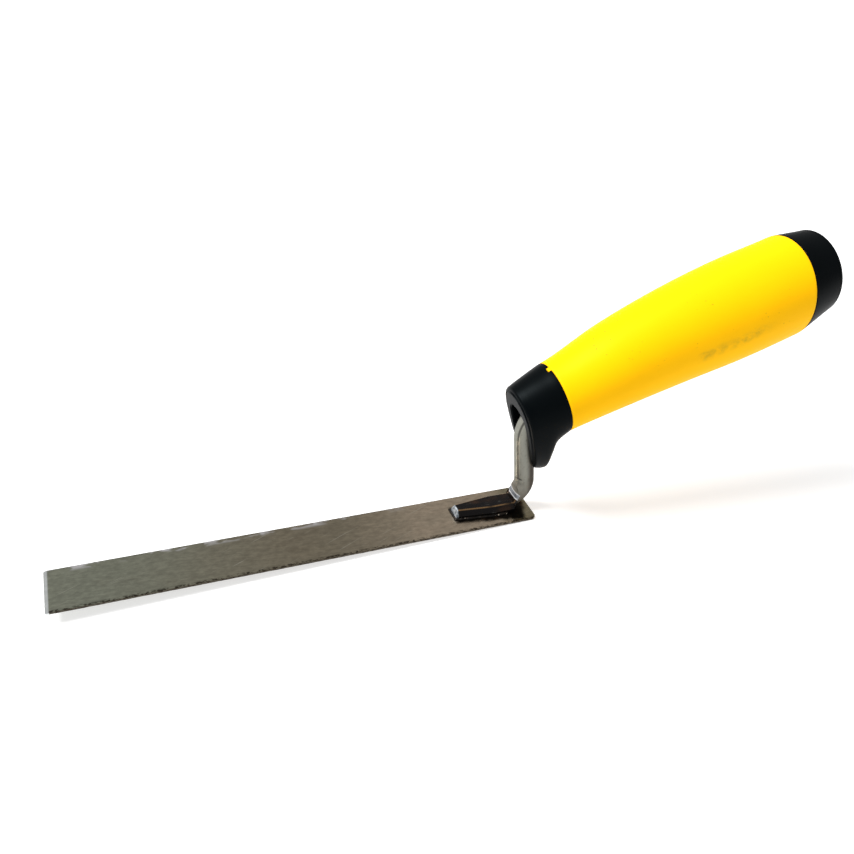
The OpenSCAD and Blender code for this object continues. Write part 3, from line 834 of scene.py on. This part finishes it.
def key_tab(name, gap, above):
    """The tab at the front of the grip's top, grown by gap and raised by above."""
    rings = []
    for s in (-TAB_LEN - gap, -TAB_LEN / 2, 0.0, TAB_ROOT):
        u = 1 + min(s, 0) / BOLSTER_LEN
        top, side, mid = smooth(BOLSTER_TOP, u), smooth(BOLSTER_SIDE, u), mix(*BOLSTER_MID, u)
        crown = []
        for t in (-1.0, -0.5, 0.0, 0.5, 1.0):
            y = t * (TAB_HALF + gap)
            arch = (top - mid) * math.sqrt(1 - (y / side) ** 2)
            e = mid + arch + above - TAB_SINK * max(s, 0)
            crown.append((s + math.tan(math.radians(FRONT_LEAN)) * e, y, e))
        base = [(s, t * (TAB_HALF + gap), TAB_BASE - gap) for t in (1.0, -1.0)]
        rings.append([on_handle(*p) for p in crown + base])
    tab = make_mesh(name, *loft(rings))
    outward(tab)
    return tab


def make_grip(material):
    outer = np.linspace(JOINT_R, GRIP_LEN - JOINT_R, GRIP_STATIONS)[1:-1]
    inner = np.linspace(GRIP_LEN, 0, GRIP_INNER_STATIONS)
    stations = rounded(0, 1) + [(s, 0) for s in outer] + rounded(GRIP_LEN, -1)[::-1]
    stations += [(s, GRIP_WALL) for s in inner]
    grip = make_mesh("grip_shell", *loft([grip_ring(*place) for place in stations], loop=True))
    outward(grip)
    cut(grip, key_tab("tab", 0.0, 0.0), "UNION")
    finish_piece(grip, material, "grip_sleeve")


def bolster_ring(s, inset=0.0):
    u = 1 + s / BOLSTER_LEN
    lean = math.tan(math.radians(mix(FACE_LEAN, FRONT_LEAN, u)))
    mid = mix(*BOLSTER_MID, u)
    top, low, side = [smooth(v, u) - inset for v in (BOLSTER_TOP, BOLSTER_LOW, BOLSTER_SIDE)]
    ring = []
    for i in range(HANDLE_N):
        a = math.tau * i / HANDLE_N
        e = mid + math.sin(a) * (top - mid if math.sin(a) > 0 else low + mid)
        ring.append(on_handle(s + lean * e, side * math.cos(a), e))
    return ring


def slot_arch(s, grow):
    """Section of the slot seen from the front: an arch that narrows downwards."""
    centre, r = SLOT_TOP - SLOT_R, SLOT_R + grow
    points = [(r * math.cos(a), centre + r * math.sin(a)) for a in np.linspace(0, math.pi, 33)]
    side = [(mix(SLOT_R, SLOT_LOW_HALF, share), centre - drop) for share, drop in SLOT_SIDES]
    side.append((SLOT_LOW_HALF, SLOT_BOTTOM))
    points += [(-y - grow, e) for y, e in side] + [(y + grow, e) for y, e in side[::-1]]
    lean = math.tan(math.radians(FACE_LEAN))
    return [on_handle(s + lean * e, y, e) for y, e in points]


def slot_cutter():
    """The slot's arch, with a soft rim at the face, run right through the bolster."""
    stations = [(SLOT_FRONT, SLOT_RIM), (-BOLSTER_LEN - 0.02, SLOT_RIM)]
    stations += [(-BOLSTER_LEN + SLOT_RIM * math.sin(a), SLOT_RIM * (1 - math.sin(a)))
                 for a in np.linspace(0.2, math.pi / 2, 4)]
    stations.append((SLOT_REAR, 0.0))
    cutter = make_mesh("slot_arch", *loft([slot_arch(*place) for place in stations]))
    outward(cutter)
    return cutter


def slot_side_block():
    """The same slot seen from the side: it follows the back of the riser and the upper bend."""
    _, straight, top, tail = rod_places()
    back = ROD_R + SLOT_ROOM
    line = [(x + back * math.sin(h), z - back * math.cos(h))
            for x, z, h in straight[::6] + top[::2] + tail[:1]]
    line.insert(0, (line[0][0] + SLOT_FOOT_STEP[0], line[0][1] + SLOT_FOOT_STEP[1]))
    roof = [on_handle(s, 0, e) for s, e in SLOT_ROOF + [(SLOT_FRONT, SLOT_ROOF[-1][1])]]
    outline = line + [(x, z) for x, _, z in roof] + [(line[0][0] - SLOT_FORWARD, line[0][1])]
    verts = [(x, y, z) for y in (-SLOT_BLOCK_HALF, SLOT_BLOCK_HALF) for x, z in outline]
    n = len(outline)
    faces = [tuple(range(n)), tuple(range(2 * n - 1, n - 1, -1))]
    faces += [(i, (i + 1) % n, n + (i + 1) % n, n + i) for i in range(n)]
    block = make_mesh("slot_side", verts, faces)
    outward(block)
    return block


def make_bolster(material):
    face = [(depth - BOLSTER_LEN, inset) for depth, inset in FACE_LIP]
    face_s, face_inset = face[-1]
    edge = [(face_s + FACE_EDGE_R * (1 - math.cos(a)), face_inset - FACE_EDGE_R * math.sin(a))
            for a in np.linspace(FACE_EDGE_START, math.pi / 2, FACE_EDGE_STATIONS)]
    body = [(s, 0) for s in np.linspace(edge[-1][0], -JOINT_R, BOLSTER_STATIONS)[1:]]
    stations = face + edge + body + rounded(0, -1)[::-1]
    bolster = make_mesh("bolster_shell", *loft([bolster_ring(*place) for place in stations]))
    outward(bolster)
    slot = slot_cutter()
    cut(slot, slot_side_block(), "INTERSECT")
    cut(bolster, slot)
    cut(bolster, key_tab("notch", NOTCH_GAP, NOTCH_ABOVE))
    finish_piece(bolster, material, "front_bolster", sharp_angle=30)


def cap_ring(s, inset, u):
    """Section of the cap at s, its outline read at u: 0 where it meets the grip, 1 at the rim."""
    top, low, side = [mix(a[-1], b, u) - inset for a, b in
                      ((GRIP_TOP, RIM_TOP), (GRIP_LOW, RIM_LOW), (GRIP_SIDE, RIM_SIDE))]
    return oval_ring(s, mix(REAR_LEAN, RIM_LEAN, u), top, low, side)


def make_cap(material):
    side_end = GRIP_LEN + CAP_LEN - CAP_EDGE_R
    u_end = (side_end - GRIP_LEN) / CAP_LEN
    sides = rounded(GRIP_LEN, 1)
    sides += [(s, 0) for s in np.linspace(GRIP_LEN + JOINT_R, side_end, CAP_STATIONS)[1:]]
    rings = [cap_ring(s, inset, (s - GRIP_LEN) / CAP_LEN) for s, inset in sides]
    for a in np.linspace(0, math.pi / 2, CAP_EDGE_STATIONS)[1:]:
        s, inset = side_end + CAP_EDGE_R * math.sin(a), CAP_EDGE_R * (1 - math.cos(a))
        rings.append(cap_ring(s, inset, u_end))
    for t in np.linspace(0, 1, CAP_END_STATIONS)[1:-1]:
        s = side_end + CAP_EDGE_R + CAP_DOME * math.sin(t * math.pi / 2)
        rings.append(cap_ring(s, mix(CAP_EDGE_R, RIM_SIDE, t), u_end))
    cap = make_mesh("cap_shell", *loft(rings))
    finish_piece(cap, material, "end_cap", sharp_angle=40)


def paint_core():
    """The core is hidden, so the CAD solid stays and only gets a better material."""
    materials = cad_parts["handle_core"].data.materials
    materials.clear()
    materials.append(Moulded("core_plastic", CORE_GREY, 0.5).done(0.2))


# ---- stage ----------------------------------------------------------------------------------

def make_floor():
    """A pale floor under the blade's heel, tilted so that the tip stands 4 mm clear of it."""
    sh = Shader("floor_white")
    sh.set(color=(FLOOR_GREY,) * 3, rough=0.9, specular=0.1)
    sh.bsdf.inputs["Emission Color"].default_value = (1, 1, 1, 1)
    sh.bsdf.inputs["Emission Strength"].default_value = FLOOR_GLOW
    corners = [(x * FLOOR_HALF, y * FLOOR_HALF, 0) for x, y in ((-1, -1), (1, -1), (1, 1), (-1, 1))]
    floor = make_mesh("floor", corners, [(0, 1, 2, 3)])
    floor.rotation_euler = Euler((0, math.radians(FLOOR_TILT), 0))
    floor.location = Vector((HEEL_X, 0, -FLOOR_ROOM)) * MM
    floor.data.materials.append(sh.material)


def make_key():
    """A distant soft lamp that shines from the key's azimuth and elevation."""
    light = bpy.data.lights.new("key", "SUN")
    light.angle, light.energy = math.radians(KEY_SPREAD), KEY_STRENGTH
    obj = bpy.data.objects.new("key", light)
    a, e = math.radians(KEY_AZIMUTH), math.radians(KEY_ELEVATION)
    source = Vector((math.cos(a) * math.cos(e), math.sin(a) * math.cos(e), math.sin(e)))
    obj.location = source
    obj.rotation_mode = "QUATERNION"
    obj.rotation_quaternion = (-source).to_track_quat("-Z", "Y")
    bpy.context.scene.collection.objects.link(obj)


def make_world():
    """An even white surround."""
    world = bpy.data.worlds.new("studio")
    world.use_nodes = True
    background = world.node_tree.nodes["Background"]
    background.inputs["Color"].default_value = (1, 1, 1, 1)
    background.inputs["Strength"].default_value = WORLD_STRENGTH
    bpy.context.scene.world = world


def make_camera():
    angles = (CAMERA_AZIMUTH, CAMERA_ELEVATION, CAMERA_ROLL)
    azimuth, elevation, roll = [math.radians(v) for v in angles]
    camera = bpy.data.cameras.new("camera")
    camera.sensor_width, camera.lens = CAMERA_SENSOR, CAMERA_LENS
    camera.clip_start = CAMERA_CLIP * MM
    obj = bpy.data.objects.new("camera", camera)
    obj.location = Vector(CAMERA_PLACE) * MM
    ahead = Vector((math.sin(azimuth) * math.cos(elevation),
                    math.cos(azimuth) * math.cos(elevation), -math.sin(elevation)))
    turn = ahead.to_track_quat("-Z", "Y")
    obj.rotation_mode = "QUATERNION"
    obj.rotation_quaternion = turn @ Euler((0, 0, roll)).to_quaternion()
    bpy.context.scene.collection.objects.link(obj)
    bpy.context.scene.camera = obj


# ---- the scene ------------------------------------------------------------------------------

make_camera()
make_world()
make_key()
make_floor()

black = Moulded("black_plastic", BLACK, 0.34).done(0.03, BLACK_SHEEN)
make_blade(make_blade_steel())
make_tang(make_tang_steel())
make_weld(make_weld_metal())
make_bolster(black)
make_grip(make_yellow_plastic())
make_cap(black)
paint_core()
bpy.context.scene.view_settings.view_transform = "Standard"
